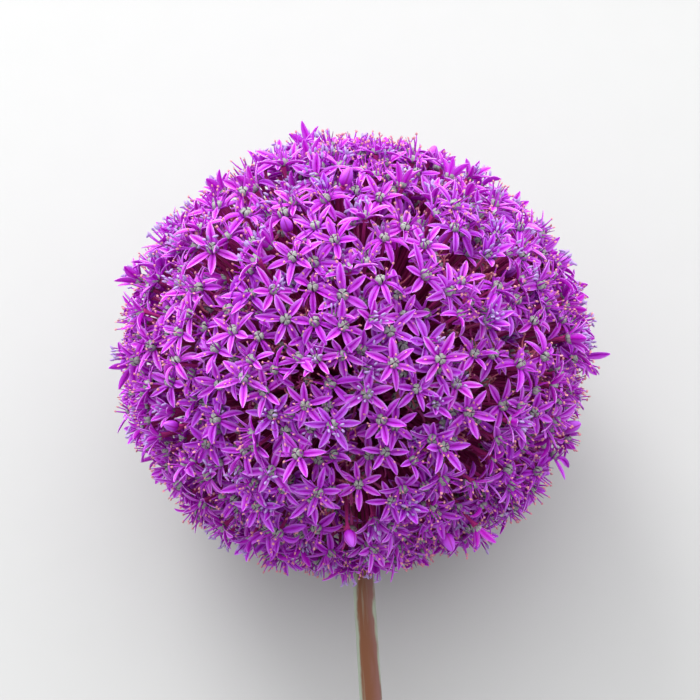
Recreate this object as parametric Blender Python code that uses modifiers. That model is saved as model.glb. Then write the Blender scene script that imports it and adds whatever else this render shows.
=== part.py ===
"""A picked allium flower head, lying on its side on a level surface.

The flower stalk, or scape, swells at its top into a round receptacle. Cymes, which are
bunches of star florets on thin stalks called pedicels, stand all over the receptacle,
and their florets make up a ball that is a little flatter than it is wide.

The head is modelled upright around the centre of its receptacle, with +Z towards the
crown, and one empty then lays it down: the ball rests on its side, pressed a little flat
by its own weight, and the cut end of the scape touches the surface. +Z is up, +Y runs
from the cut end to the crown, and the origin is under the middle of the object's box.
Dimensions are in metres.
"""

import math

import bmesh
import bpy
import numpy as np
from mathutils import Matrix, Vector

# Driving dimensions of the flower head.
BALL_RADIUS = 0.070            # to the florets' faces, square to the scape
BALL_HALF_HEIGHT = 0.065       # to the florets' faces, along the scape
BALL_CENTRE_UP = 0.0075        # the ball's centre stands this far above the receptacle's
REST_HEIGHT = 0.068            # of the ball's centre, once the ball is pressed down

# The scape and its receptacle.
SCAPE_LENGTH = 0.175           # from the receptacle's centre to the cut end
SCAPE_FOOT_RADIUS = 0.0037
SCAPE_NECK_RADIUS = 0.0034
RECEPTACLE_RADIUS = 0.0099
SCAPE_SIDES = 20

# One floret: six tepals as a star, with the pistil and stamens as its raised middle.
FLORET_COUNT = 420
FLORET_SEED = 11
FLORET_REACH = 0.0066          # to the tips of the tepals
TEPAL_NOTCH = 0.36             # radius between two tepals, as a share of the reach
FLORET_HEIGHT = 0.0038
FLORET_SPACING_SHARE = 0.47    # of the way to the nearest neighbour, so that none overlap
SPREAD_ROUNDS = 22             # of pushing the florets apart: even, but not regular
DEPTH_SPREAD = 0.0012          # some florets stand a little further out than others
STEM_CLEARANCE = math.radians(14)   # no floret stands nearer to the scape than this
PEDICEL_RADIUS = 0.00062

# One cyme: the joined feet of a bunch of pedicels, wider outwards.
CYME_HALF_ANGLE = math.radians(11.2)
CYME_FOOT = 0.0103             # distances from the receptacle's centre
CYME_TOP = 0.019
CYME_SIDES = 8
PEDICEL_SPREAD = 0.6           # of a floret's angle from its cyme's axis, at its foot
PEDICEL_REACH = 0.75           # of the cyme's half angle, as far as a foot may stand out
TIERS = (                      # (name, angle from the crown in degrees, cymes)
    ("crown", 0, 1),
    ("tier1", 25, 6),
    ("tier2", 50, 10),
    ("tier3", 75, 12),
    ("tier4", 100, 12),
    ("tier5", 124, 9),
    ("tier6", 146, 6),
)

TEPAL_PURPLE = (0.42, 0.07, 0.55)
PEDICEL_PURPLE = (0.20, 0.02, 0.10)
SCAPE_BROWN = (0.28, 0.17, 0.09)


def clear_scene():
    for old in list(bpy.data.objects):
        bpy.data.objects.remove(old)


def new_collection(name):
    made = bpy.data.collections.new(name)
    bpy.context.scene.collection.children.link(made)
    return made


def new_material(name, colour, roughness):
    made = bpy.data.materials.new(name)
    made.use_nodes = True
    shader = made.node_tree.nodes["Principled BSDF"]
    shader.inputs["Base Color"].default_value = (*colour, 1)
    shader.inputs["Roughness"].default_value = roughness
    shader.inputs["Metallic"].default_value = 0
    return made


def new_object(name, bm, collection, material=None):
    mesh = bpy.data.meshes.new(name)
    bm.to_mesh(mesh)
    bm.free()
    if material:
        mesh.materials.append(material)
    made = bpy.data.objects.new(name, mesh)
    collection.objects.link(made)
    return made


def direction(polar, azimuth):
    """A unit vector at these angles from the crown and around the scape."""
    return Vector((
        math.sin(polar) * math.cos(azimuth),
        math.sin(polar) * math.sin(azimuth),
        math.cos(polar),
    ))


def aim(point, along):
    """The matrix that puts a +Z shape at point, facing along."""
    return Matrix.Translation(point) @ along.to_track_quat("Z", "Y").to_matrix().to_4x4()


def spread_points(count, seed):
    """Points of a unit sphere, pushed apart until they are evenly but not regularly spread."""
    rng = np.random.default_rng(seed)
    points = rng.normal(size=(count, 3))
    points /= np.linalg.norm(points, axis=1, keepdims=True)
    spacing = math.sqrt(4 * math.pi / count)
    lowest = -math.cos(STEM_CLEARANCE)
    for _ in range(SPREAD_ROUNDS):
        apart = points[:, None] - points[None]
        distance = np.linalg.norm(apart, axis=2, keepdims=True) + np.eye(count)[..., None]
        push = (apart / distance * np.exp(-(distance / spacing) ** 2)).sum(axis=1)
        points += 0.25 * spacing * push
        points /= np.linalg.norm(points, axis=1, keepdims=True)
        low = points[:, 2] < lowest
        rim = np.linalg.norm(points[low, :2], axis=1, keepdims=True)
        points[low, :2] *= math.sin(STEM_CLEARANCE) / rim
        points[low, 2] = lowest
    return points


def lying_slope():
    """How far the scape slopes when the ball and the cut end both touch the surface."""
    reach = BALL_CENTRE_UP + SCAPE_LENGTH
    slope = math.asin(REST_HEIGHT / math.hypot(reach, SCAPE_FOOT_RADIUS))
    return slope - math.atan(SCAPE_FOOT_RADIUS / reach)


def press(place, up, height):
    """Where a floret ends up, and which way it faces, once the ball lies on the surface."""
    facing = place.normalized()
    sunk = -(height + (place + facing * FLORET_HEIGHT).dot(up))
    if sunk <= 0:
        return place, facing
    pressed = place * ((height - FLORET_HEIGHT) / -place.dot(up))
    return pressed, -up


def floret_places():
    """(place, facing, reach) of each floret, from the receptacle's centre."""
    half_axes = np.array([BALL_RADIUS, BALL_RADIUS, BALL_HALF_HEIGHT])
    rng = np.random.default_rng(FLORET_SEED)
    out = spread_points(FLORET_COUNT, FLORET_SEED)
    free = out * (half_axes + rng.uniform(-DEPTH_SPREAD, DEPTH_SPREAD, (FLORET_COUNT, 1)))
    free[:, 2] += BALL_CENTRE_UP
    slope = lying_slope()
    up = Vector((0, -math.cos(slope), math.sin(slope)))
    height = REST_HEIGHT - BALL_CENTRE_UP * math.sin(slope)
    laid = [press(Vector(place), up, height) for place in free]
    places = np.array([place for place, _ in laid])
    apart = np.linalg.norm(places[:, None] - places[None], axis=2)
    nearest = (apart + np.eye(FLORET_COUNT)).min(axis=1)
    reaches = np.minimum(FLORET_REACH, FLORET_SPACING_SHARE * nearest)
    return [(*lying, float(reach)) for lying, reach in zip(laid, reaches)]


def cyme_axes():
    """(name, axis) of each cyme, tier by tier from the crown to the scape."""
    axes = []
    for tier, degrees, count in TIERS:
        for i in range(count):
            azimuth = 2 * math.pi * (i + 0.5 * (degrees // 25 % 2)) / count
            name = f"florets_{tier}" if count == 1 else f"florets_{tier}_{i + 1:02d}"
            axes.append((name, direction(math.radians(degrees), azimuth)))
    return axes


def add_star(bm, place, facing, reach):
    """A floret: a low twelve-sided cone whose alternate rim points are drawn in."""
    cone = bmesh.ops.create_cone(
        bm, cap_ends=True, segments=12, radius1=reach, radius2=0, depth=FLORET_HEIGHT
    )
    verts = [v for v in cone["verts"] if v.is_valid]
    for v in verts:
        corner = round(math.atan2(v.co.y, v.co.x) / (math.pi / 6))
        if v.co.z < 0 and corner % 2:
            v.co.x *= TEPAL_NOTCH
            v.co.y *= TEPAL_NOTCH
    middle = place + facing * FLORET_HEIGHT / 2
    bmesh.ops.transform(bm, matrix=aim(middle, facing), verts=verts)


def add_pedicel(bm, foot, place):
    """A thin stalk from inside the cyme's foot to inside the floret."""
    along = place - foot
    end = foot + along * (1 + 0.0008 / along.length)
    bmesh.ops.create_cone(
        bm,
        cap_ends=True,
        segments=3,
        radius1=PEDICEL_RADIUS,
        radius2=PEDICEL_RADIUS,
        depth=(end - foot).length,
        matrix=aim((foot + end) / 2, along),
    )


def add_cyme_foot(bm, axis):
    """The joined feet of a cyme's pedicels: a short cone that widens outwards."""
    widening = math.tan(CYME_HALF_ANGLE)
    bmesh.ops.create_cone(
        bm,
        cap_ends=True,
        segments=CYME_SIDES,
        radius1=CYME_FOOT * widening,
        radius2=CYME_TOP * widening,
        depth=CYME_TOP - CYME_FOOT,
        matrix=aim(axis * (CYME_FOOT + CYME_TOP) / 2, axis),
    )


def make_cyme(name, axis, florets, pose, collection, cutters, material):
    """One cyme as one solid: its foot joined with its pedicels and their florets."""
    foot = bmesh.new()
    add_cyme_foot(foot, axis)
    bunch = bmesh.new()
    foot_distance = CYME_TOP - 0.001
    widest = PEDICEL_REACH * CYME_HALF_ANGLE
    for place, facing, reach in florets:
        out = place.normalized()
        share = min(PEDICEL_SPREAD, widest / axis.angle(out))
        add_pedicel(bunch, axis.slerp(out, share) * foot_distance, place)
        add_star(bunch, place, facing, reach)
    joined = new_object(name + "_bunch", bunch, cutters)
    cyme = new_object(name, foot, collection, material)
    for made in (joined, cyme):
        made.parent = pose
    joined.hide_render = True
    joined.display_type = "WIRE"
    union = cyme.modifiers.new("join the pedicels", "BOOLEAN")
    union.operation = "UNION"
    union.use_self = True
    union.object = joined
    return cyme


def make_scape(pose, collection, material):
    """The flower stalk: a turned profile from the receptacle's top down to the cut end."""
    neck = math.asin(SCAPE_NECK_RADIUS / RECEPTACLE_RADIUS)
    arc = [
        (RECEPTACLE_RADIUS * math.sin(a), RECEPTACLE_RADIUS * math.cos(a))
        for a in np.linspace(0, math.pi - 1.6 * neck, 9)
    ]
    profile = arc + [
        (SCAPE_NECK_RADIUS * 1.15, -RECEPTACLE_RADIUS * 0.94),
        (SCAPE_NECK_RADIUS, -RECEPTACLE_RADIUS * 1.3),
        (SCAPE_FOOT_RADIUS, -SCAPE_LENGTH),
        (0, -SCAPE_LENGTH),
    ]
    bm = bmesh.new()
    verts = [bm.verts.new((x, 0, z)) for x, z in profile]
    for upper, lower in zip(verts, verts[1:]):
        bm.edges.new((upper, lower))
    scape = new_object("scape", bm, collection, material)
    scape.parent = pose
    turn = scape.modifiers.new("turn", "SCREW")
    turn.steps = turn.render_steps = SCAPE_SIDES
    turn.use_merge_vertices = True
    turn.merge_threshold = 0.00001
    turn.use_smooth_shade = True
    return scape


def lay_down(pose):
    """Tips the head until the ball and the cut end of the scape both touch the surface."""
    slope = lying_slope()
    pose.rotation_euler = (slope - math.pi / 2, 0, 0)
    pose.location = (0, 0, REST_HEIGHT - BALL_CENTRE_UP * math.sin(slope))


def world_points(made):
    graph = bpy.context.evaluated_depsgraph_get()
    evaluated = made.evaluated_get(graph)
    mesh = evaluated.to_mesh()
    points = [evaluated.matrix_world @ v.co for v in mesh.vertices]
    evaluated.to_mesh_clear()
    return points


def centre_on_origin(pose, parts):
    """Moves the whole head so that the origin is under the middle of its box."""
    bpy.context.view_layer.update()
    points = np.array([point for part in parts for point in world_points(part)])
    middle = (points.min(axis=0) + points.max(axis=0)) / 2
    pose.location.x -= middle[0]
    pose.location.y -= middle[1]


def build():
    clear_scene()
    head = new_collection("allium_flower_head")
    cutters = new_collection("cutters")
    purple = new_material("tepals", TEPAL_PURPLE, 0.55)
    brown = new_material("scape", SCAPE_BROWN, 0.45)
    pose = bpy.data.objects.new("lying_pose", None)
    head.objects.link(pose)
    lay_down(pose)

    axes = cyme_axes()
    bunches = {name: [] for name, _ in axes}
    for place, facing, reach in floret_places():
        nearest = max(axes, key=lambda named: named[1].dot(place.normalized()))
        bunches[nearest[0]].append((place, facing, reach))

    cymes = [
        make_cyme(name, axis, bunches[name], pose, head, cutters, purple)
        for name, axis in axes
    ]
    scape = make_scape(pose, head, brown)
    centre_on_origin(pose, [*cymes, scape])


build()
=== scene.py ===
"""The looks of a picked allium flower head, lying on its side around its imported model.

Everything is in metres. The head's own frame is upright around its receptacle, with +Z
towards the crown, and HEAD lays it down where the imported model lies.
"""
import math

import bmesh
import bpy
import numpy as np
from mathutils import Matrix, Quaternion, Vector


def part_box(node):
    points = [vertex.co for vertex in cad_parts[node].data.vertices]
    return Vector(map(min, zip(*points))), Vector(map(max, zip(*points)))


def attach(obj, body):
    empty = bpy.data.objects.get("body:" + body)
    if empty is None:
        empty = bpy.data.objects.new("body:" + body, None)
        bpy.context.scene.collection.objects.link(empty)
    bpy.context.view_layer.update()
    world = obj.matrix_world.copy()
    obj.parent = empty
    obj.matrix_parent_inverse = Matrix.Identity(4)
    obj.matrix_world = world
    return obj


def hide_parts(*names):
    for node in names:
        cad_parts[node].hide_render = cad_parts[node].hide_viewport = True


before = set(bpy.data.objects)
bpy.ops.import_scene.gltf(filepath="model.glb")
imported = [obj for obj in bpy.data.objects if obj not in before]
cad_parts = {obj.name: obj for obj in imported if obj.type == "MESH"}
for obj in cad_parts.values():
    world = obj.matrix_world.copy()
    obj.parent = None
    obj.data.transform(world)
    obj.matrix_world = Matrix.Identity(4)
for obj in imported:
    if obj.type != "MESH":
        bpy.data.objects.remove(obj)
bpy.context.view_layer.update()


# ---------------------------------------------------------------------------------------
# The scape: the flower stalk, round and fleshy, brown and mauve with pale grey-green streaks
# and a waxy bloom, and pale grey-green along both sides, which is painted sheen. It swells
# at its top into the round receptacle that carries the cymes.
# It was cut square across with a knife, which shows its pale wall and its hollow pith.

SCAPE_LENGTH = 0.175           # from the receptacle's centre to the cut
SCAPE_FOOT_RADIUS = 0.0037
SCAPE_NECK_RADIUS = 0.0034
RECEPTACLE_RADIUS = 0.0099
BALL_CENTRE_UP = 0.0075        # the ball of florets is centred above the receptacle
BALL_CENTRE_ASIDE = 0.0017     # and a little to one side of the scape's line
REST_HEIGHT = 0.068            # of the ball's centre
SCAPE_SIDES = 48
SCAPE_RINGS = 40
RECEPTACLE_RINGS = 12
CUT_BEVEL = 0.0002
CUT_PROFILE = (                # (radius, depth into the scape), from the cut's rim inwards
    (0.0035, 0),
    (0.0026, 0),
    (0.0015, 0.0002),
    (0.0011, 0.0012),
    (0.0006, 0.0030),
    (0, 0.0034),
)
CUT_REACH = 0.0036             # deeper than the hollow of the pith
CUT_RADIUS = 0.0034            # all within it is cut flesh
SCAPE_RIBS = (                 # (height as a share of the radius, waves around, twist)
    (0.012, 7, 0),
    (0.02, 2, 31),
)
SCAPE_STRETCH = 22             # of its patterns, along it
BUMP_STRENGTH = 0.6

SCAPE_BROWN = (0.17, 0.060, 0.024)
SCAPE_MAUVE = (0.20, 0.085, 0.070)
# pale grey-green: the skin's own streaks, and painted sheen along both sides of the stalk
SCAPE_GREEN_STREAKS_AND_SHEEN = (0.31, 0.355, 0.27)
CUT_GREEN = (0.50, 0.58, 0.30)
PITH_WHITE = (0.72, 0.74, 0.58)

ball_reach = BALL_CENTRE_UP + SCAPE_LENGTH
slope = math.asin(REST_HEIGHT / math.hypot(ball_reach, SCAPE_FOOT_RADIUS))
slope -= math.atan(SCAPE_FOOT_RADIUS / ball_reach)
scape_low, scape_high = (Vector(corner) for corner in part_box("scape"))
receptacle = scape_high - Vector((scape_high.x - scape_low.x, 2 * RECEPTACLE_RADIUS,
                                  2 * RECEPTACLE_RADIUS)) / 2
HEAD = Matrix.Translation(receptacle) @ Matrix.Rotation(slope - math.pi / 2, 4, "X")


def new_material(name, roughness, **values):
    """A material with one Principled shader, whose plain numbers sit on its sockets."""
    material = bpy.data.materials.new(name)
    material.use_nodes = True
    shader = material.node_tree.nodes["Principled BSDF"]
    shader.inputs["Roughness"].default_value = roughness
    for socket, value in values.items():
        shader.inputs[socket.replace("_", " ")].default_value = value
    return material


def add_node(material, kind, *sources, **settings):
    """Adds a node whose inputs, in order, are linked to a socket or set to a value."""
    tree = material.node_tree
    node = tree.nodes.new("ShaderNode" + kind)
    for name, value in settings.items():
        setattr(node, name, value)
    for socket, source in zip(node.inputs, sources):
        if isinstance(source, bpy.types.NodeSocket):
            tree.links.new(source, socket)
        elif source is not None:
            socket.default_value = source
    return node


def maths(material, operation, *sources):
    return add_node(material, "Math", *sources, operation=operation).outputs[0]


def between(material, value, low, high):
    """Rises smoothly from 0 at low to 1 at high."""
    node = add_node(material, "MapRange", value, low, high, interpolation_type="SMOOTHSTEP")
    return node.outputs[0]


def blend_colours(material, share, first, second):
    """Goes from the first colour to the second as the share goes from 0 to 1."""
    node = add_node(material, "Mix", share, data_type="RGBA")
    for socket, source in zip((node.inputs[6], node.inputs[7]), (first, second)):
        if isinstance(source, bpy.types.NodeSocket):
            material.node_tree.links.new(source, socket)
        else:
            socket.default_value = (*source, 1)
    return node.outputs[2]


def noise(material, vector, scale, detail=2, roughness=0.5):
    node = add_node(material, "TexNoise", vector, None, scale, detail, roughness)
    return node.outputs["Fac"]


def finish_material(material, colour, roughness=None, height=None, depth=0.0001):
    """Feeds the shader its pattern of colour and roughness, and its bumps."""
    tree = material.node_tree
    shader = tree.nodes["Principled BSDF"]
    tree.links.new(colour, shader.inputs["Base Color"])
    if roughness is not None:
        tree.links.new(roughness, shader.inputs["Roughness"])
    if height is not None:
        bump = add_node(material, "Bump")
        bump.inputs["Strength"].default_value = BUMP_STRENGTH
        bump.inputs["Distance"].default_value = depth
        tree.links.new(height, bump.inputs["Height"])
        tree.links.new(bump.outputs[0], shader.inputs["Normal"])


def new_piece(name, bm, *materials, smooth_below=60):
    """Makes a piece of the bmesh, shaded smooth except over edges sharper than an angle."""
    mesh = bpy.data.meshes.new(name)
    bm.to_mesh(mesh)
    bm.free()
    mesh.shade_smooth()
    mesh.set_sharp_from_angle(angle=math.radians(smooth_below))
    for material in materials:
        mesh.materials.append(material)
    piece = bpy.data.objects.new(name, mesh)
    bpy.context.scene.collection.objects.link(piece)
    return piece


def scape_profile():
    """(radius, height) down the scape: receptacle, neck, stalk, cut wall and hollow pith."""
    neck = math.asin(SCAPE_NECK_RADIUS / RECEPTACLE_RADIUS)
    top = [
        (RECEPTACLE_RADIUS * math.sin(a), RECEPTACLE_RADIUS * math.cos(a))
        for a in np.linspace(0, math.pi - 1.6 * neck, RECEPTACLE_RINGS)
    ]
    neck_end = -1.3 * RECEPTACLE_RADIUS
    neck_part = [(SCAPE_NECK_RADIUS * 1.15, -0.94 * RECEPTACLE_RADIUS),
                 (SCAPE_NECK_RADIUS * 1.03, -1.1 * RECEPTACLE_RADIUS)]
    stalk = [
        (SCAPE_NECK_RADIUS + share * (SCAPE_FOOT_RADIUS - SCAPE_NECK_RADIUS),
         neck_end - share * (SCAPE_LENGTH + neck_end - CUT_BEVEL))
        for share in np.linspace(0, 1, SCAPE_RINGS)
    ]
    cut = [(radius, depth - SCAPE_LENGTH) for radius, depth in CUT_PROFILE]
    return top + neck_part + stalk + cut


def scape_mesh():
    bm = bmesh.new()
    verts = [bm.verts.new((radius, 0, height)) for radius, height in scape_profile()]
    edges = [bm.edges.new(pair) for pair in zip(verts, verts[1:])]
    bmesh.ops.spin(
        bm, geom=verts + edges, cent=(0, 0, 0), axis=(0, 0, 1), angle=2 * math.pi,
        steps=SCAPE_SIDES, use_merge=True,
    )
    bmesh.ops.remove_doubles(bm, verts=bm.verts, dist=0.00001)
    bmesh.ops.recalc_face_normals(bm, faces=bm.faces)
    for v in bm.verts:
        if v.co.z > -SCAPE_LENGTH + CUT_REACH:
            around = math.atan2(v.co.y, v.co.x)
            rib = sum(height * math.sin(waves * around + twist * v.co.z)
                      for height, waves, twist in SCAPE_RIBS)
            v.co.x *= 1 + rib
            v.co.y *= 1 + rib
    bm.transform(HEAD)
    return bm


scape_skin = new_material(
    "scape_skin", 0.5, Sheen_Weight=0.4, Sheen_Roughness=0.3, Sheen_Tint=(0.8, 0.95, 0.8, 1),
    Specular_IOR_Level=0.3,
)
along = add_node(
    scape_skin, "Mapping", add_node(scape_skin, "TexCoord").outputs["Object"],
    receptacle, (slope - math.pi / 2, 0, 0), (1, 1, SCAPE_STRETCH), vector_type="TEXTURE",
).outputs[0]
streaks = noise(scape_skin, along, 420, 4, 0.6)
patches = noise(scape_skin, along, 240)
shorter = add_node(scape_skin, "VectorMath", along, (1, 1, 7), operation="MULTIPLY")
wander = noise(scape_skin, shorter.outputs[0], 260, 3)
side = add_node(scape_skin, "SeparateXYZ", along).outputs["X"]
side = maths(scape_skin, "DIVIDE", side, SCAPE_NECK_RADIUS)
side = maths(scape_skin, "MULTIPLY_ADD", maths(scape_skin, "SUBTRACT", wander, 0.5), 1.1, side)
mauve = maths(scape_skin, "MULTIPLY_ADD", maths(scape_skin, "SUBTRACT", patches, 0.5), 1.5, side)
skin = blend_colours(scape_skin, between(scape_skin, mauve, -0.2, 0.5), SCAPE_BROWN, SCAPE_MAUVE)
streak = maths(scape_skin, "MULTIPLY", between(scape_skin, streaks, 0.54, 0.68), 0.35)
# Painted sheen: the stalk is paler grey-green along both its sides, as where a waxy bloom
# catches the light at a grazing angle. The pale streaks are the skin's own.
pale = maths(scape_skin, "MAXIMUM", between(scape_skin, side, -0.5, -0.78),
             between(scape_skin, side, 0.75, 1.0))
pale = maths(scape_skin, "MAXIMUM", pale, streak)
skin = blend_colours(scape_skin, pale, skin, SCAPE_GREEN_STREAKS_AND_SHEEN)
finish_material(scape_skin, skin, height=streaks, depth=0.00008)

cut_flesh = new_material("cut_flesh", 0.35, Subsurface_Weight=0.25, Subsurface_Scale=0.0008)
grain = noise(cut_flesh, add_node(cut_flesh, "TexCoord").outputs["Object"], 2600, 3)
flesh = blend_colours(cut_flesh, between(cut_flesh, grain, 0.35, 0.65), CUT_GREEN, PITH_WHITE)
finish_material(cut_flesh, flesh, height=grain, depth=0.00005)

scape = new_piece("scape_stalk", scape_mesh(), scape_skin, cut_flesh, smooth_below=40)
cut_start = HEAD @ Vector((0, 0, -SCAPE_LENGTH + CUT_REACH))
towards_cut = (HEAD.to_3x3() @ Vector((0, 0, -1))).normalized()
for face in scape.data.polygons:
    beyond = (face.center - cut_start).dot(towards_cut)
    inside = (face.center - cut_start - towards_cut * beyond).length < CUT_RADIUS
    face.material_index = int(beyond > 0 and inside)
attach(scape, "root")
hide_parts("scape")


# ---------------------------------------------------------------------------------------
# The order of the florets: they open all over a ball, grouped in cymes. The outer ones
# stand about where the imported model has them, and older and shorter ones fill in between
# and below. Where the ball lies on the surface, its florets are pressed flat.

BALL_RADIUS = 0.070
BALL_HALF_HEIGHT = 0.065
OUTER_COUNT = 420
INNER_COUNT = 880
INNER_DEPTH = 0.24             # of the ball's radius, for the deepest floret
FLORET_SEED = 11
FLORET_HEIGHT = 0.0038
DEPTH_SPREAD = 0.0012
SCATTER = 0.0013               # how far a floret strays from its place
SPREAD_ROUNDS = 22
SPREAD_PUSH = 0.25             # of the spacing, at most, in one round
INNER_CROWDING = 1.8           # the higher, the fewer of the inner ones lie deep
CROWN_TAPER = 0.65             # draws the florets in where they stand high on the crown,
CROWN_TAPER_FROM = 0.45        # from this share of the ball's half height on
STEM_CLEARANCE = math.radians(14)
TIERS = (                      # (name, angle from the crown in degrees, cymes)
    ("crown", 0, 1),
    ("tier1", 25, 6),
    ("tier2", 50, 10),
    ("tier3", 75, 12),
    ("tier4", 100, 12),
    ("tier5", 124, 9),
    ("tier6", 146, 6),
)


def spread_points(count, seed, fixed=None):
    """Points of a unit sphere, pushed apart, with the fixed ones first and unmoved."""
    rng = np.random.default_rng(seed)
    points = rng.normal(size=(count, 3))
    points /= np.linalg.norm(points, axis=1, keepdims=True)
    held = 0 if fixed is None else len(fixed)
    if held:
        points = np.vstack([fixed, points])
    spacing = math.sqrt(4 * math.pi / len(points))
    lowest = -math.cos(STEM_CLEARANCE)
    for _ in range(SPREAD_ROUNDS):
        apart = points[:, None] - points[None]
        distance = np.linalg.norm(apart, axis=2, keepdims=True) + np.eye(len(points))[..., None]
        push = (apart / distance * np.exp(-(distance / spacing) ** 2)).sum(axis=1)
        push[:held] = 0
        points += SPREAD_PUSH * spacing * push
        points /= np.linalg.norm(points, axis=1, keepdims=True)
        low = points[:, 2] < lowest
        rim = np.linalg.norm(points[low, :2], axis=1, keepdims=True)
        points[low, :2] *= math.sin(STEM_CLEARANCE) / rim
        points[low, 2] = lowest
    return points


def press(place, up, height):
    """Where a floret ends up, and which way it faces, once the ball lies on the surface."""
    facing = place.normalized()
    if height + (place + facing * FLORET_HEIGHT).dot(up) >= 0:
        return place, facing
    return place * ((height - FLORET_HEIGHT) / -place.dot(up)), -up


def cyme_axes_of(degrees, count):
    """The axes of one tier's cymes, evenly spaced around the scape."""
    polar = math.radians(degrees)
    for i in range(count):
        azimuth = 2 * math.pi * (i + 0.5 * (degrees // 25 % 2)) / count
        yield Vector((math.sin(polar) * math.cos(azimuth),
                      math.sin(polar) * math.sin(azimuth), math.cos(polar)))


def tier_of(out):
    """The name of the tier whose nearest cyme points closest to this way."""
    return max((max(axis.dot(out) for axis in cyme_axes_of(degrees, count)), tier)
               for tier, degrees, count in TIERS)[1]


def floret_places():
    """(place, facing, tier, depth) of each floret; depth is 0 outside and 1 far inside."""
    half_axes = np.array([BALL_RADIUS, BALL_RADIUS, BALL_HALF_HEIGHT])
    outer = spread_points(OUTER_COUNT, FLORET_SEED)
    rng = np.random.default_rng(FLORET_SEED)
    sizes = half_axes + rng.uniform(-DEPTH_SPREAD, DEPTH_SPREAD, (OUTER_COUNT, 1))
    inner = spread_points(INNER_COUNT, FLORET_SEED + 1, outer)[OUTER_COUNT:]
    inner_depths = rng.uniform(0, 1, INNER_COUNT) ** INNER_CROWDING
    depths = np.concatenate([np.zeros(OUTER_COUNT), inner_depths])
    inner_sizes = half_axes * (1 - INNER_DEPTH * inner_depths[:, None])
    free = np.vstack([outer * sizes, inner * inner_sizes])
    high = np.maximum(0, free[:, 2:] / BALL_HALF_HEIGHT - CROWN_TAPER_FROM)
    free[:, :2] *= 1 - CROWN_TAPER * high ** 2
    free += (BALL_CENTRE_ASIDE, 0, BALL_CENTRE_UP)
    free += rng.normal(0, SCATTER, free.shape)
    up = HEAD.to_3x3().inverted() @ Vector((0, 0, 1))
    laid = [press(Vector(place), up, receptacle.z) for place in free]
    return [(place, facing, tier_of(place.normalized()), depth)
            for (place, facing), depth in zip(laid, depths)]


florets = floret_places()
tier_names = [name for name, _, _ in TIERS]
cyme_nodes = {
    tier: [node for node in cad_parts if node.startswith("florets_" + tier)]
    for tier in tier_names
}
cyme_axes = [axis for _, degrees, count in TIERS for axis in cyme_axes_of(degrees, count)]
rng = np.random.default_rng(29)


# ---------------------------------------------------------------------------------------
# The pedicels: one thin stalk for each floret, dark maroon and now and then olive. They
# stand close together on the receptacle, drawn into bunches, and each widens at its end
# into the small cup that its floret sits in.

PEDICEL_RADIUS = 0.00052
PEDICEL_CUP_RADIUS = 0.00105
PEDICEL_SIDES = 5
PEDICEL_STEPS = (0, 0.3, 0.65, 0.965, 1)
PEDICEL_BOW = 0.0024           # how far a pedicel bends out of line, at most
PEDICEL_FOOT = 0.0093          # its foot is just inside the receptacle's skin
PEDICEL_FOOT_WIDTH = 1.3       # times its width at the floret
PEDICEL_SPREAD = 0.8           # of its floret's angle from the cyme's axis, at its foot
UV_CELLS = (8, 4)              # copies share this many cells of their piece's own map

PEDICEL_MAROON = (0.25, 0.012, 0.085)
PEDICEL_PINK = (0.50, 0.035, 0.24)
PEDICEL_OLIVE = (0.15, 0.10, 0.03)


def put_in_cell(bm, place_of):
    """Lays the faces out in one cell of the map, each corner where place_of says."""
    layer = bm.loops.layers.uv.new("OFBake")
    for face in bm.faces:
        for loop in face.loops:
            across, along = place_of(face, loop.vert.co)
            loop[layer].uv = (across / UV_CELLS[0], along / UV_CELLS[1])


def new_master(name, bm):
    """Keeps the shape as a mesh to copy from."""
    bmesh.ops.recalc_face_normals(bm, faces=bm.faces)
    master = bpy.data.meshes.new(name)
    bm.to_mesh(master)
    bm.free()
    return master


def new_mapped_bmesh():
    bm = bmesh.new()
    bm.loops.layers.uv.new("OFBake")
    return bm


def add_copy(bm, master, move, column, row):
    """Adds a copy of a master to bm, moved by a matrix or by a function of its points."""
    copy = master.copy()
    if isinstance(move, Matrix):
        copy.transform(move)
    else:
        points = np.empty((len(copy.vertices), 3), np.float32)
        copy.vertices.foreach_get("co", points.ravel())
        copy.vertices.foreach_set("co", move(points).astype(np.float32).ravel())
    places = np.empty((len(copy.loops), 2), np.float32)
    layer = copy.uv_layers["OFBake"].data
    layer.foreach_get("uv", places.ravel())
    places += (column / UV_CELLS[0], row / UV_CELLS[1])
    layer.foreach_set("uv", places.ravel())
    bm.from_mesh(copy)
    bpy.data.meshes.remove(copy)


def rest_on_surface(bm, soft=0.0012):
    """Presses what hangs lower than the surface flat against it."""
    for v in bm.verts:
        if v.co.z < soft:
            v.co.z = soft * math.exp(v.co.z / soft - 1)


def read_cells(material):
    """What the piece's own map says: each copy's luck and row, and the place in its cell."""
    uv = add_node(material, "UVMap", uv_map="OFBake").outputs[0]
    scaled = add_node(material, "VectorMath", uv, (*UV_CELLS, 1), operation="MULTIPLY")
    cell = add_node(material, "VectorMath", scaled.outputs[0], operation="FLOOR").outputs[0]
    inside = add_node(material, "VectorMath", scaled.outputs[0], operation="FRACTION")
    luck = add_node(material, "TexWhiteNoise", cell, noise_dimensions="2D").outputs["Value"]
    row = add_node(material, "SeparateXYZ", cell).outputs["Y"]
    place = add_node(material, "SeparateXYZ", inside.outputs[0])
    return luck, row, place.outputs["X"], place.outputs["Y"]


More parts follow.
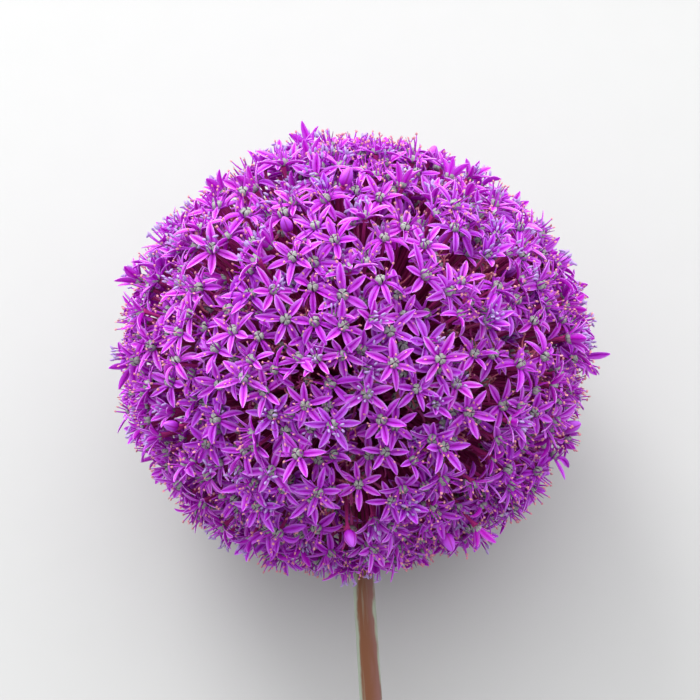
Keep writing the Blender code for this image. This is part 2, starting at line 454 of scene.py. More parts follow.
def pedicel_master():
    """A round stalk of radius 1 and length 1, in steps that can bend."""
    bm = bmesh.new()
    bmesh.ops.create_circle(bm, segments=PEDICEL_SIDES, radius=1)
    edges = bm.edges[:]
    for step in PEDICEL_STEPS[1:]:
        swept = bmesh.ops.extrude_edge_only(bm, edges=edges)["geom"]
        edges = [part for part in swept if isinstance(part, bmesh.types.BMEdge)]
        for part in swept:
            if isinstance(part, bmesh.types.BMVert):
                part.co.z = step
    bmesh.ops.holes_fill(bm, edges=bm.edges)

    def place_of(face, co):
        if abs(face.normal.z) > 0.9:
            return 0.5 + 0.04 * co.x, 0.01 + 0.96 * co.z + 0.004 * co.y
        middle = face.calc_center_median()
        way = math.atan2(middle.y, middle.x)
        turn = math.atan2(co.y, co.x) - way
        turn = (turn + math.pi) % (2 * math.pi) - math.pi
        return 0.5 + 0.45 * (way + turn) / math.pi / 1.25, 0.02 + 0.95 * co.z

    bm.normal_update()
    put_in_cell(bm, place_of)
    return new_master("pedicel", bm)


def pedicel_bend(foot, end):
    """Sweeps the straight stalk from foot to end, bowed a little, with a cup at its end."""
    along = end - foot
    aside = along.orthogonal().normalized()
    aside.rotate(Quaternion(along.normalized(), rng.uniform(0, 2 * math.pi)))
    across = np.array([aside, aside.cross(along).normalized()]) * PEDICEL_RADIUS
    bow = np.array(aside) * rng.uniform(0, PEDICEL_BOW)

    def move(points):
        step = points[:, 2:]
        taper = PEDICEL_FOOT_WIDTH + (1 - PEDICEL_FOOT_WIDTH) * step
        wide = np.where(step > 0.99, PEDICEL_CUP_RADIUS / PEDICEL_RADIUS, taper)
        swept = np.array(foot) + np.array(along) * step + bow * 4 * step * (1 - step)
        return swept + (points[:, :2] * wide) @ across

    return move


def cyme_axis(out):
    """The axis of the cyme that stands closest to this way."""
    return max(cyme_axes, key=lambda axis: axis.dot(out))


pedicel_skin = new_material("pedicel_skin", 0.45, Specular_IOR_Level=0.15)
luck, row, across, up_stalk = read_cells(pedicel_skin)
stalk_colour = blend_colours(
    pedicel_skin, maths(pedicel_skin, "GREATER_THAN", luck, 0.9), PEDICEL_MAROON, PEDICEL_OLIVE
)
fibres = add_node(pedicel_skin, "CombineXYZ", across, up_stalk, luck).outputs[0]
fibres = add_node(pedicel_skin, "VectorMath", fibres, (9, 3, 40), operation="MULTIPLY")
fibre = noise(pedicel_skin, fibres.outputs[0], 1)
near_floret = maths(pedicel_skin, "MULTIPLY", between(pedicel_skin, up_stalk, 0.55, 0.97), 0.4)
pink = maths(pedicel_skin, "MULTIPLY_ADD", fibre, 0.6, near_floret)
stalk_colour = blend_colours(pedicel_skin, pink, stalk_colour, PEDICEL_PINK)
finish_material(pedicel_skin, stalk_colour)

stalk_master = pedicel_master()
for tier in tier_names:
    bm = new_mapped_bmesh()
    for place, _, name, _ in florets:
        if name != tier:
            continue
        out = place.normalized()
        foot = cyme_axis(out).slerp(out, PEDICEL_SPREAD) * PEDICEL_FOOT
        move = pedicel_bend(HEAD @ foot, HEAD @ place)
        add_copy(bm, stalk_master, move, rng.integers(UV_CELLS[0]), rng.integers(UV_CELLS[1]))
    rest_on_surface(bm)
    pedicels = new_piece("pedicels_" + tier, bm, pedicel_skin)
    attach(pedicels, "root")
    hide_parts(*cyme_nodes[tier])


# ---------------------------------------------------------------------------------------
# The perianths: six narrow, pointed tepals stand around each floret as a star. They are
# thin and a little boat-shaped, bright violet with a dark magenta midrib and pale edges;
# the pale edges are partly their own paler margins and partly painted highlight.
# Young ones are cupped, open ones are flat, and old ones bend back, fold and twist.

TEPAL_LENGTH = 0.0074
TEPAL_WIDTH = 0.0023
TEPAL_THICKNESS = 0.00016
TEPAL_SEGMENTS = 7
TEPAL_BASE_RADIUS = 0.0008
TEPAL_BASE_WIDTH = 0.42        # of its full width
TEPAL_TIP_WIDTH = 0.05
TEPAL_BLUNTNESS = 0.62         # the lower, the blunter its tip
MASTERS_PER_KIND = 7
MAP_MARGIN = 0.44              # a tepal's half width on its half of a cell
WITHERED_ROW = UV_CELLS[1] - 1

TEPAL_VIOLET = (0.48, 0.024, 0.77)
TEPAL_MAGENTA = (0.56, 0.007, 0.62)
TEPAL_DEEP = (0.26, 0.0005, 0.26)
# paler margins, partly the tepals' own and partly painted highlight
TEPAL_PALE_MARGIN_AND_HIGHLIGHT = (0.70, 0.45, 0.90)
TEPAL_OLD = (0.34, 0.002, 0.49)
TEPAL_UNDERSIDE = (0.46, 0.002, 0.45)
TEPAL_WITHERED = (0.40, 0.055, 0.17)

# angles in degrees: (pitch, its spread, curl, its spread, fold, twist, width)
PERIANTHS = {
    "cupped": (62, 9, -22, 12, 0.45, 8, 1.05),
    "open": (19, 11, -22, 18, 0.42, 18, 1.0),
    "bent_back": (0, 16, -62, 26, 0.6, 38, 0.95),
    "withered": (35, 30, -95, 60, 0.9, 110, 0.42),
}


def tepal_outline(share):
    """The half width of a tepal at this share of its length: lanceolate and pointed."""
    if share < 0.5:
        return TEPAL_BASE_WIDTH + (1 - TEPAL_BASE_WIDTH) * math.sin(math.pi * share)
    narrowing = math.cos(math.pi * (min(share, 1) - 0.5))
    return max(TEPAL_TIP_WIDTH, narrowing) ** TEPAL_BLUNTNESS


def add_tepal(bm, length, width, pitch, curl, fold, twist, turn, lift):
    """One tepal: a thin blade, cut to its outline and then bent."""
    blade = bmesh.new()
    bmesh.ops.create_grid(blade, x_segments=2, y_segments=TEPAL_SEGMENTS, size=0.5)
    for v in blade.verts:
        share = v.co.y + 0.5
        v.co = (v.co.x * width * tepal_outline(share), share * length, 0)
    bmesh.ops.solidify(blade, geom=blade.faces[:], thickness=TEPAL_THICKNESS)
    bmesh.ops.recalc_face_normals(blade, faces=blade.faces)
    blade.normal_update()

    def place_of(face, co):
        share = co.y / length
        across = co.x / (width / 2 * tepal_outline(share))
        under = co.z < -TEPAL_THICKNESS / 2
        if abs(face.normal.z) < 0.5:
            across *= 1.1 if under else 1
            under = False
        return (0.5 + MAP_MARGIN * across + under) / 2, 0.02 + 0.96 * share

    put_in_cell(blade, place_of)
    for v in blade.verts:
        share = v.co.y / length
        angle = pitch + curl * share
        reach = (math.sin(angle) - math.sin(pitch)) / curl * length
        rise = (math.cos(pitch) - math.cos(angle)) / curl * length
        folded = Vector((v.co.x, v.co.z + fold * abs(v.co.x)))
        turned = Matrix.Rotation(twist * share, 2) @ folded
        v.co = (reach - turned.y * math.sin(angle), turned.x, rise + turned.y * math.cos(angle))
    blade.transform(
        Matrix.Rotation(turn, 4, "Z") @ Matrix.Translation((TEPAL_BASE_RADIUS, 0, lift))
    )
    part = bpy.data.meshes.new("tepal")
    blade.to_mesh(part)
    blade.free()
    bm.from_mesh(part)
    bpy.data.meshes.remove(part)


def perianth_master(kind):
    """Six tepals around a floret, no two quite alike."""
    pitch, pitch_spread, curl, curl_spread, fold, twist, broad = PERIANTHS[kind]
    bm = new_mapped_bmesh()
    for i in range(6):
        inner = i % 2
        add_tepal(
            bm,
            length=TEPAL_LENGTH * rng.uniform(0.84, 1.07) * (1 - 0.04 * inner),
            width=TEPAL_WIDTH * broad * rng.uniform(0.88, 1.08) * (1 - 0.08 * inner),
            pitch=math.radians(rng.normal(pitch, pitch_spread)),
            curl=math.radians(rng.normal(curl, curl_spread)),
            fold=fold * rng.uniform(0.6, 1.3),
            twist=math.radians(rng.normal(0, twist)),
            turn=math.radians(60 * i + rng.normal(0, 5)),
            lift=0.00015 + 0.0002 * inner,
        )
    return new_master("perianth_" + kind, bm)


tepal_skin = new_material(
    "tepal_skin", 0.45, Specular_IOR_Level=0.1, Subsurface_Weight=0.45,
    Subsurface_Scale=0.0007, Subsurface_Radius=(1.0, 0.15, 1.0),
)
luck, row, across, up_tepal = read_cells(tepal_skin)
halves = maths(tepal_skin, "FRACT", maths(tepal_skin, "MULTIPLY", across, 2))
aside = maths(tepal_skin, "ABSOLUTE", maths(tepal_skin, "SUBTRACT", halves, 0.5))
aside = maths(tepal_skin, "DIVIDE", aside, MAP_MARGIN)
age = maths(tepal_skin, "DIVIDE", row, WITHERED_ROW)
vein_place = add_node(tepal_skin, "CombineXYZ", halves, up_tepal, luck).outputs[0]
vein_place = add_node(tepal_skin, "VectorMath", vein_place, (26, 2.2, 60), operation="MULTIPLY")
vein = noise(tepal_skin, vein_place.outputs[0], 1)
violet = blend_colours(tepal_skin, luck, TEPAL_VIOLET, TEPAL_MAGENTA)
violet = blend_colours(tepal_skin, maths(tepal_skin, "MULTIPLY", age, 0.75), violet, TEPAL_OLD)
# Pale margins, broad over each half, stronger towards the tip and on young florets, with paler
# veins: partly the tepal's own paler margins and veins, partly painted highlight where the
# folded halves catch the light.
edge = between(tepal_skin, aside, 0.15, 1.0)
edge = maths(tepal_skin, "MULTIPLY", edge, maths(tepal_skin, "MULTIPLY_ADD", up_tepal, 0.5, 0.1))
edge = maths(tepal_skin, "MULTIPLY_ADD", between(tepal_skin, vein, 0.50, 0.75), 0.20, edge)
edge = maths(tepal_skin, "MULTIPLY", edge, maths(tepal_skin, "MULTIPLY_ADD", age, -0.8, 1.15))
violet = blend_colours(tepal_skin, edge, violet, TEPAL_PALE_MARGIN_AND_HIGHLIGHT)
midrib = between(tepal_skin, aside, 0.38, 0.08)
fade = between(tepal_skin, up_tepal, 1.0, 0.45)
fade = maths(tepal_skin, "MULTIPLY", fade, between(tepal_skin, vein, 0.9, 0.3))
midrib = maths(tepal_skin, "MULTIPLY", midrib, fade)
base = between(tepal_skin, up_tepal, 0.22, 0.0)
midrib = maths(tepal_skin, "MAXIMUM", midrib, maths(tepal_skin, "MULTIPLY", base, 0.6))
violet = blend_colours(tepal_skin, midrib, violet, TEPAL_DEEP)
under = maths(tepal_skin, "MULTIPLY", maths(tepal_skin, "GREATER_THAN", across, 0.5), 0.6)
violet = blend_colours(tepal_skin, under, violet, TEPAL_UNDERSIDE)
dead = maths(tepal_skin, "GREATER_THAN", row, WITHERED_ROW - 0.5)
dead = maths(tepal_skin, "MULTIPLY", dead, 0.85)
violet = blend_colours(tepal_skin, dead, violet, TEPAL_WITHERED)
finish_material(tepal_skin, violet, maths(tepal_skin, "MULTIPLY_ADD", vein, 0.3, 0.3), vein)

perianths = {
    kind: [perianth_master(kind) for _ in range(MASTERS_PER_KIND)]
    for kind in PERIANTHS
}

WITHERED_DEPTH = 0.42          # from here on inwards, most florets are withered
WITHERED_CHANCE = 0.74
BUD_CHANCE = 0.012
UNOPENED_CHANCE = 0.08         # of a floret that is cupped or a bud
BENT_BACK_CHANCE = 0.31
FLANK = 0.7                    # how far aside the flanks begin, as a share of the ball
AGES = {"bud": 0, "cupped": 0, "open": 0.6, "bent_back": 1.5}
AGE_SPREAD = 0.6
CROWN_YOUTH = 0.45             # how much younger florets are at the crown
FLORET_SIZES = (0.90, 1.14)
CROWN_GROWTH = 0.06            # how much larger the youngest are, at the crown
TILT = math.radians(19)        # how far a floret leans away from straight out
CROWN_LEAN = 0.10              # how much all of them lean towards the crown


def kind_of(depth, out):
    """A floret's state, by chance, by its depth (the deep ones are the oldest) and by where
    it sits: those of the crown and of both flanks open last."""
    chance = rng.uniform()
    youth = max(0, out.z) ** 2
    late = max(0, abs(out.x) - FLANK)
    if depth > WITHERED_DEPTH + 0.4 * youth and chance < WITHERED_CHANCE:
        return "withered"
    if chance > 1 - BUD_CHANCE - 0.01 * youth - 0.26 * late:
        return "bud"
    if chance > 1 - UNOPENED_CHANCE - 0.16 * youth - 0.40 * late:
        return "cupped"
    return "bent_back" if chance < BENT_BACK_CHANCE + 0.3 * depth - 0.15 * youth else "open"


def floret_pose(place, facing, turn):
    """The matrix from a floret's own frame, +Z outwards, to its place on the laid head."""
    upright = facing.to_track_quat("Z", "Y").to_matrix().to_4x4()
    return HEAD @ Matrix.Translation(place) @ upright @ Matrix.Rotation(turn, 4, "Z")


standing = {tier: [] for tier in tier_names}
for place, facing, tier, depth in florets:
    lean = Vector(rng.normal(0, TILT, 3)) + Vector((0, 0, CROWN_LEAN))
    facing = (facing + lean).normalized()
    pose = floret_pose(place, facing, rng.uniform(0, 2 * math.pi))
    out = place.normalized()
    size = rng.uniform(*FLORET_SIZES) * (1 + CROWN_GROWTH * max(0, out.z))
    kind = kind_of(depth, out)
    row = WITHERED_ROW
    if kind != "withered":
        age = AGES[kind] - CROWN_YOUTH * out.z + rng.normal(0, AGE_SPREAD)
        row = int(np.clip(round(age), 0, WITHERED_ROW - 1))
    standing[tier].append((pose @ Matrix.Scale(size, 4), kind, rng.integers(UV_CELLS[0]), row))

for tier in tier_names:
    bm = new_mapped_bmesh()
    for pose, kind, column, row in standing[tier]:
        if kind != "bud":
            add_copy(bm, perianths[kind][rng.integers(MASTERS_PER_KIND)], pose, column, row)
    rest_on_surface(bm)
    tepals = new_piece("tepals_" + tier, bm, tepal_skin, smooth_below=35)
    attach(tepals, "root")
    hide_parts(*cyme_nodes[tier])


# ---------------------------------------------------------------------------------------
# The pistils: in the middle of each floret sits a plump grey-green ovary of three lobes,
# parted by grooves that meet in the middle, darkened with painted shade. A thin purple
# style stands up from there. Both grow on the same cup as the tepals.

OVARY_RADIUS = 0.00162
OVARY_HEIGHT = 0.0024
GROOVE_DEPTH = 0.36
GROOVE_PINCH = 0.45            # how close to a groove its lobe's edge stands, of its own way
LOBE_BULGE = 1.05              # of each lobe's middle
OVARY_FLARE = 0.65             # the lower, the steeper the ovary's walls
STYLE_LENGTH = 0.0034
STYLE_RADII = (0.00022, 0.00007)
OVARY_ON_MAP = (0.36, 0.5)     # the ovary's middle in its cell
OVARY_MAP_REACH = (0.34, 0.46)
STYLE_ON_MAP = 0.72            # the style's part of the cell starts here

OVARY_GREEN = (0.29, 0.305, 0.28)
# a lighter copy of the green: painted highlight on the pimples
OVARY_PIMPLE_HIGHLIGHT = (0.3915, 0.41175, 0.378)
OVARY_GREY = (0.20, 0.165, 0.175)
# near black: painted shade in the ovary's grooves, and the fainter seam along each lobe
GROOVE_SHADE_AND_SEAM = (0.030, 0.012, 0.035)
STYLE_PURPLE = (0.20, 0.02, 0.22)


def pistil_master():
    """Three plump lobes with a narrow groove between each two, and the style."""
    bm = bmesh.new()
    bmesh.ops.create_uvsphere(bm, u_segments=12, v_segments=6, radius=1)
    third = 2 * math.pi / 3
    for v in bm.verts:
        out = math.hypot(v.co.x, v.co.y)
        way = math.atan2(v.co.y, v.co.x)
        past = (way + third / 2) % third - third / 2
        past = past if abs(past) < 0.99 * third / 2 else third / 2
        step = round(abs(past) / (math.pi / 6))
        groove = 1 if out < 0.01 or step == 2 else 0
        if step == 1:
            way += math.copysign(math.pi / 6 * GROOVE_PINCH, past)
        bulge = 1 if step else LOBE_BULGE
        wide = OVARY_RADIUS * (1 - GROOVE_DEPTH * groove) * bulge * out ** OVARY_FLARE
        high = OVARY_HEIGHT / 2 * (1 - 0.22 * groove * (v.co.z > 0))
        v.co = (math.cos(way) * wide, math.sin(way) * wide, v.co.z * high + OVARY_HEIGHT / 2)

    put_in_cell(bm, lambda face, co: (
        OVARY_ON_MAP[0] + OVARY_MAP_REACH[0] * co.x / OVARY_RADIUS,
        OVARY_ON_MAP[1] + OVARY_MAP_REACH[1] * co.y / OVARY_RADIUS,
    ))
    style = bmesh.new()
    bmesh.ops.create_cone(
        style, cap_ends=True, segments=4, radius1=STYLE_RADII[0], radius2=STYLE_RADII[1],
        depth=STYLE_LENGTH,
        matrix=Matrix.Translation((0, 0, OVARY_HEIGHT * 0.8 + STYLE_LENGTH / 2)),
    )
    put_in_cell(style, lambda face, co: (0.85 + 200 * co.x, 0.1 + 130 * co.z + 60 * co.y))
    part = new_master("style", style)
    bm.from_mesh(part)
    bpy.data.meshes.remove(part)
    return new_master("pistil", bm)


ovary_skin = new_material("ovary_skin", 0.6, Subsurface_Weight=0.1, Subsurface_Scale=0.0006)
luck, row, across, beside = read_cells(ovary_skin)
off_x = maths(ovary_skin, "SUBTRACT", across, OVARY_ON_MAP[0])
off_x = maths(ovary_skin, "DIVIDE", off_x, OVARY_MAP_REACH[0])
off_y = maths(ovary_skin, "SUBTRACT", beside, OVARY_ON_MAP[1])
off_y = maths(ovary_skin, "DIVIDE", off_y, OVARY_MAP_REACH[1])
way = maths(ovary_skin, "ARCTAN2", off_y, off_x)
lobe = maths(ovary_skin, "COSINE", maths(ovary_skin, "MULTIPLY", way, 3))
# Painted shade: near black in the grooves between the lobes.
groove = between(ovary_skin, lobe, -0.78, -0.96)
out = add_node(ovary_skin, "CombineXYZ", off_x, off_y, luck).outputs[0]
pimples = noise(ovary_skin, out, 7)
age = maths(ovary_skin, "MULTIPLY_ADD", row, 0.28, maths(ovary_skin, "MULTIPLY", luck, 0.2))
flesh = blend_colours(ovary_skin, age, OVARY_GREEN, OVARY_GREY)
# Painted highlight: a lighter copy of the green on the raised tops of the pimples.
flesh = blend_colours(ovary_skin, between(ovary_skin, pimples, 0.35, 0.8), flesh, OVARY_PIMPLE_HIGHLIGHT)
seam = maths(ovary_skin, "MULTIPLY", between(ovary_skin, lobe, 0.93, 1.0), 0.45)
flesh = blend_colours(ovary_skin, maths(ovary_skin, "MAXIMUM", groove, seam), flesh, GROOVE_SHADE_AND_SEAM)
on_style = maths(ovary_skin, "GREATER_THAN", across, STYLE_ON_MAP)
flesh = blend_colours(ovary_skin, on_style, flesh, STYLE_PURPLE)
finish_material(ovary_skin, flesh, height=pimples)

pistil = pistil_master()
for tier in tier_names:
    bm = new_mapped_bmesh()
    for pose, kind, column, row in standing[tier]:
        if kind != "bud":
            add_copy(bm, pistil, pose, column, row)
    rest_on_surface(bm)
    pistils = new_piece("pistils_" + tier, bm, ovary_skin)
    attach(pistils, "root")
    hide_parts(*cyme_nodes[tier])


# ---------------------------------------------------------------------------------------
# The stamens: six thin purple filaments stand around each ovary and lean out over the
# tepals. A young one carries an oblong lavender anther, still closed. An open anther is
# small, crumpled and salmon-coloured.

FILAMENT_RADIUS = 0.00025
FILAMENT_LENGTH = 0.0051
ANTHER_CLOSED = (0.00040, 0.00040, 0.00098)
ANTHER_OPEN = (0.00044, 0.00028, 0.00056)
ANTHER_CRUMPLE = (0.6, 1.15)   # how far in and out an open one's points lie
ANTHER_SWING = 0.7             # radians, around its fastening on the filament
STAMEN_FOOT = (0.0010, 0, 0.0004)

FILAMENT_PURPLE = (0.36, 0.004, 0.42)
FILAMENT_LILAC = (0.62, 0.12, 0.78)
FILAMENT_PINK = (0.62, 0.14, 0.22)
ANTHER_LAVENDER = (0.38, 0.26, 0.53)
# a lighter copy of the lavender: painted highlight on a closed anther's grains
ANTHER_GRAIN_HIGHLIGHT = (0.475, 0.325, 0.6625)
ANTHER_SALMON = (0.72, 0.30, 0.34)
ANTHER_BROWN = (0.40, 0.10, 0.13)

# angles in degrees: (pitch, its spread, curl, anther)
STAMENS = {
    "cupped": (80, 5, 8, ANTHER_CLOSED),
    "open": (68, 9, -8, ANTHER_OPEN),
    "young": (72, 7, 10, ANTHER_CLOSED),
    "bent_back": (52, 16, 20, ANTHER_OPEN),
    "withered": (45, 30, 80, ANTHER_OPEN),
}


def add_stamen(bm, length, pitch, curl, anther, turn):
    """One filament, wider at its foot and bent outwards, with its anther across its tip."""
    part = bmesh.new()
    bmesh.ops.create_cone(
        part, cap_ends=True, segments=4, radius1=FILAMENT_RADIUS * 1.5,
        radius2=FILAMENT_RADIUS * 0.6, depth=length,
        matrix=Matrix.Translation((0, 0, length / 2)),
    )
    upright = [e for e in part.edges if abs(e.verts[0].co.z - e.verts[1].co.z) > length / 2]
    bmesh.ops.subdivide_edges(part, edges=upright, cuts=2)
    put_in_cell(part, lambda face, co: (
        0.25 + 0.18 * math.atan2(co.y, co.x) / math.pi + 60 * co.x,
        0.03 + 0.94 * co.z / length,
    ))
    for v in part.verts:
        share = v.co.z / length
        angle = pitch + curl * share
        reach = (math.sin(angle) - math.sin(pitch)) / curl * length
        rise = (math.cos(pitch) - math.cos(angle)) / curl * length
        v.co = (reach - v.co.x * math.sin(angle), v.co.y, rise + v.co.x * math.cos(angle))
    tip = Vector(((math.sin(pitch + curl) - math.sin(pitch)) / curl * length, 0,
                  (math.cos(pitch) - math.cos(pitch + curl)) / curl * length))
    head = bmesh.new()
    bmesh.ops.create_icosphere(head, subdivisions=1, radius=1)
    put_in_cell(head, lambda face, co: (0.75 + 0.2 * co.x, 0.5 + 0.45 * co.z))
    for v in head.verts:
        v.co *= rng.uniform(*ANTHER_CRUMPLE) if anther is ANTHER_OPEN else 1
    bmesh.ops.scale(head, vec=anther, verts=head.verts)
    swing = rng.normal(0, ANTHER_SWING)
    lean = Matrix.Rotation(math.pi / 2 - pitch - curl + swing, 4, "Y")
    head.transform(Matrix.Translation(tip) @ lean)
    around = Matrix.Rotation(turn, 4, "Z") @ Matrix.Translation(STAMEN_FOOT)
    for shape in (part, head):
        shape.transform(around)
        mesh = new_master("stamen_part", shape)
        bm.from_mesh(mesh)
        bpy.data.meshes.remove(mesh)


def stamen_master(kind):
    """Six stamens around a floret, each at its own angle."""
    pitch, spread, curl, anther = STAMENS[kind]
    bm = new_mapped_bmesh()
    for i in range(6):
        add_stamen(
            bm,
            length=FILAMENT_LENGTH * rng.uniform(0.8, 1.1),
            pitch=math.radians(rng.normal(pitch, spread)),
            curl=math.radians(curl * rng.uniform(0.5, 1.5)),
            anther=anther,
            turn=math.radians(60 * i + rng.normal(0, 7)),
        )
    return new_master("stamens_" + kind, bm)


stamen_skin = new_material("stamen_skin", 0.5, Specular_IOR_Level=0.15)
luck, row, across, up_stamen = read_cells(stamen_skin)
filament = blend_colours(stamen_skin, maths(stamen_skin, "MULTIPLY", up_stamen, luck),
                         FILAMENT_PURPLE, FILAMENT_LILAC)
dead = maths(stamen_skin, "GREATER_THAN", row, WITHERED_ROW - 0.5)
filament = blend_colours(stamen_skin, dead, filament, FILAMENT_PINK)
grains = add_node(stamen_skin, "CombineXYZ", across, up_stamen, luck).outputs[0]
grain = noise(stamen_skin, grains, 30)
brown = between(stamen_skin, grain, 0.5, 0.75)
opened = blend_colours(stamen_skin, brown, ANTHER_SALMON, ANTHER_BROWN)
# Painted highlight: a closed anther is mottled with a lighter copy of its lavender where its
# grains stand higher.
pale = between(stamen_skin, grain, 0.3, 0.7)
closed = blend_colours(stamen_skin, pale, ANTHER_LAVENDER, ANTHER_GRAIN_HIGHLIGHT)
is_open = maths(stamen_skin, "GREATER_THAN", row, 0.5)
anther_colour = blend_colours(stamen_skin, is_open, closed, opened)
is_anther = maths(stamen_skin, "GREATER_THAN", across, 0.5)
shown = blend_colours(stamen_skin, is_anther, filament, anther_colour)
finish_material(stamen_skin, shown, height=grain, depth=0.00003)

stamens = {kind: [stamen_master(kind) for _ in range(MASTERS_PER_KIND)] for kind in STAMENS}
for tier in tier_names:
    bm = new_mapped_bmesh()
    for pose, kind, column, row in standing[tier]:
        if kind == "bud":
            continue
        if kind == "open" and row == 0 and column % 2:
            kind = "young"
        add_copy(bm, stamens[kind][rng.integers(MASTERS_PER_KIND)], pose, column,
                 0 if kind in ("young", "cupped") else max(row, 1))
    rest_on_surface(bm)
    ring = new_piece("stamens_" + tier, bm, stamen_skin)
    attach(ring, "root")
    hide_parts(*cyme_nodes[tier])


# ---------------------------------------------------------------------------------------
# The buds: a few florets haven't opened. Each is an egg of tepals wrapped around each
# other, purple with painted highlight along its ribs and towards its tip, with dark seams,
# on a pedicel like the rest.

BUD_RADIUS = 0.0019
BUD_LENGTH = 0.0057
BUD_RIB = 0.10                 # of the radius
BUD_TAPER = 0.16
BUD_POINT = 0.1                # how much its tip is drawn out
BUD_ON_MAP = 0.42 / 1.1        # of the cell's width, for half a turn

BUD_PURPLE = (0.40, 0.006, 0.50)
# lilac of the painted highlight along a bud's ribs and towards its tip
BUD_RIB_AND_TIP_HIGHLIGHT = (0.55, 0.11, 0.84)
BUD_FOOT = (0.30, 0.004, 0.26)


def bud_master():
    """A ribbed egg, pointed at its tip."""
    bm = bmesh.new()
    bmesh.ops.create_uvsphere(bm, u_segments=12, v_segments=9, radius=1)

    def place_of(face, co):
        middle = face.calc_center_median()
        way = math.atan2(middle.y, middle.x)
        turn = (math.atan2(co.y, co.x) - way + math.pi) % (2 * math.pi) - math.pi
        if math.hypot(co.x, co.y) < 0.01:
            turn = 0
        return 0.5 + BUD_ON_MAP * (way + turn) / math.pi, 0.5 + 0.48 * co.z

    put_in_cell(bm, place_of)
    for v in bm.verts:
        out = math.hypot(v.co.x, v.co.y)
        rib = 1 - BUD_RIB * (1 - math.cos(3 * math.atan2(v.co.y, v.co.x))) / 2
        slim = (1 - BUD_TAPER * v.co.z) * rib * BUD_RADIUS
        high = (v.co.z + 1 + BUD_POINT * (1 - out)) * BUD_LENGTH / 2
        v.co = (v.co.x * slim, v.co.y * slim, high)
    return new_master("bud", bm)


bud_skin = new_material("bud_skin", 0.45, Specular_IOR_Level=0.3, Subsurface_Weight=0.15,
                        Subsurface_Scale=0.001, Subsurface_Radius=(1.0, 0.2, 1.0))
luck, row, across, up_bud = read_cells(bud_skin)
turns = maths(bud_skin, "SUBTRACT", across, 0.5)
turns = maths(bud_skin, "MULTIPLY", turns, 3 * math.pi / BUD_ON_MAP)
ridge = maths(bud_skin, "COSINE", turns)
rib = between(bud_skin, ridge, 0.3, 1)
lines = add_node(bud_skin, "CombineXYZ", across, maths(bud_skin, "MULTIPLY", up_bud, 0.15), luck)
line = noise(bud_skin, lines.outputs[0], 24)
# Painted highlight: lilac along the ribs and towards the tip, broken up by fine streaks.
pale = maths(bud_skin, "MULTIPLY_ADD", rib, 0.25, between(bud_skin, up_bud, 0.25, 0.9))
pale = maths(bud_skin, "MULTIPLY", pale, maths(bud_skin, "MULTIPLY_ADD", line, 0.6, 0.4))
bud_colour = blend_colours(bud_skin, pale, BUD_PURPLE, BUD_RIB_AND_TIP_HIGHLIGHT)
seam = maths(bud_skin, "MULTIPLY", between(bud_skin, ridge, -0.75, -1.0), 0.8)
foot = maths(bud_skin, "MAXIMUM", between(bud_skin, up_bud, 0.25, 0.02), seam)
bud_colour = blend_colours(bud_skin, foot, bud_colour, BUD_FOOT)
finish_material(bud_skin, bud_colour, height=line)

bud = bud_master()
bm = new_mapped_bmesh()
for tier in tier_names:
    for pose, kind, column, row in standing[tier]:
        if kind == "bud":
            add_copy(bm, bud, pose, column, row)
rest_on_surface(bm)
buds = new_piece("buds", bm, bud_skin)
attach(buds, "root")
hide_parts(*(node for tier in tier_names for node in cyme_nodes[tier]))


# ---------------------------------------------------------------------------------------
# The studio: a plain pale floor, soft light from the crown's side and from above, and a
# camera that looks down on the head, square to its scape.

BALL_WIDTH = 0.150             # from tip to tip
BALL_WIDTH_SHARE = 0.677       # of the picture's width
BALL_ASIDE = 0.0067            # how far the ball stands from the picture's middle, as shares
BALL_DOWN = 0.0079             # of its width
LENS = 100
SENSOR = 36
ROLL = math.radians(-3.6)
FLOOR_SIZE = 3
FLOOR_PALE = (0.44, 0.44, 0.43)
FLOOR_GREY = (0.39, 0.39, 0.38)
SOFT_LIGHT = 0.96              # square to SOFT_LIGHT_FROM
SOFT_LIGHT_SLOPE = 1.95        # how much stronger it is from there, on the crown's side
SOFT_LIGHT_FROM = (0, 0.80, 0.60)
SOFT_LIGHT_LEAST = 0.08
SOFT_LIGHT_COLOUR = (0.97, 0.98, 1, 1)
KEY_LIGHT_FROM = (-0.4, 0.9, 0.7)
KEY_LIGHT_SIZE = 0.6
KEY_LIGHT_WATTS = 9

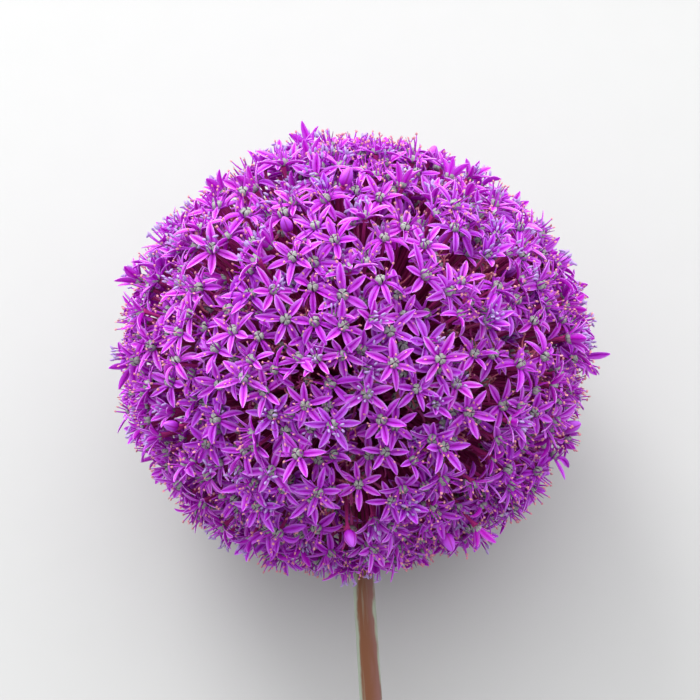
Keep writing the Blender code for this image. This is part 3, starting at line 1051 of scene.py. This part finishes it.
floor_mesh = bmesh.new()
bmesh.ops.create_grid(floor_mesh, x_segments=1, y_segments=1, size=FLOOR_SIZE)
floor_paint = new_material("floor_paint", 0.8)
floor_grain = noise(floor_paint, add_node(floor_paint, "TexCoord").outputs["Object"], 60)
grey = maths(floor_paint, "MULTIPLY", floor_grain, 0.2)
finish_material(floor_paint, blend_colours(floor_paint, grey, FLOOR_PALE, FLOOR_GREY))
floor = new_piece("floor", floor_mesh, floor_paint)

ball_centre = HEAD @ Vector((BALL_CENTRE_ASIDE, 0, BALL_CENTRE_UP))
head_up = HEAD.to_3x3() @ Vector((0, 0, 1))
view_out = HEAD.to_3x3() @ Vector((0, -1, 0))
view_right = Vector((1, 0, 0))
picture_width = BALL_WIDTH / BALL_WIDTH_SHARE
distance = picture_width * LENS / SENSOR
turned = Quaternion(view_out, ROLL)
sideways = turned @ view_right
upwards = turned @ head_up
target = ball_centre - sideways * BALL_ASIDE * picture_width
target += upwards * BALL_DOWN * picture_width

camera_data = bpy.data.cameras.new("camera")
camera_data.lens = LENS
camera_data.sensor_width = SENSOR
camera_data.clip_start = 0.01
camera = bpy.data.objects.new("camera", camera_data)
bpy.context.scene.collection.objects.link(camera)
pose = Matrix((sideways, upwards, view_out)).transposed().to_4x4()
camera.matrix_world = Matrix.Translation(target + view_out * distance) @ pose
bpy.context.scene.camera = camera

key_data = bpy.data.lights.new("key", "AREA")
key_data.shape = "DISK"
key_data.size = KEY_LIGHT_SIZE
key_data.energy = KEY_LIGHT_WATTS
key = bpy.data.objects.new("key", key_data)
key.location = ball_centre + Vector(KEY_LIGHT_FROM)
key.rotation_euler = Vector(KEY_LIGHT_FROM).to_track_quat("Z", "Y").to_euler()
bpy.context.scene.collection.objects.link(key)

world = bpy.data.worlds.new("studio")
world.use_nodes = True
way_out = add_node(world, "TexCoord").outputs["Generated"]
facing_light = add_node(world, "VectorMath", way_out, SOFT_LIGHT_FROM, operation="DOT_PRODUCT")
facing_light = facing_light.outputs["Value"]
soft_light = maths(world, "MULTIPLY_ADD", facing_light, SOFT_LIGHT_SLOPE, SOFT_LIGHT)
soft_light = maths(world, "MAXIMUM", soft_light, SOFT_LIGHT_LEAST)
background = world.node_tree.nodes["Background"]
world.node_tree.links.new(soft_light, background.inputs["Strength"])
background.inputs["Color"].default_value = SOFT_LIGHT_COLOUR
bpy.context.scene.world = world
bpy.context.scene.view_settings.view_transform = "Standard"
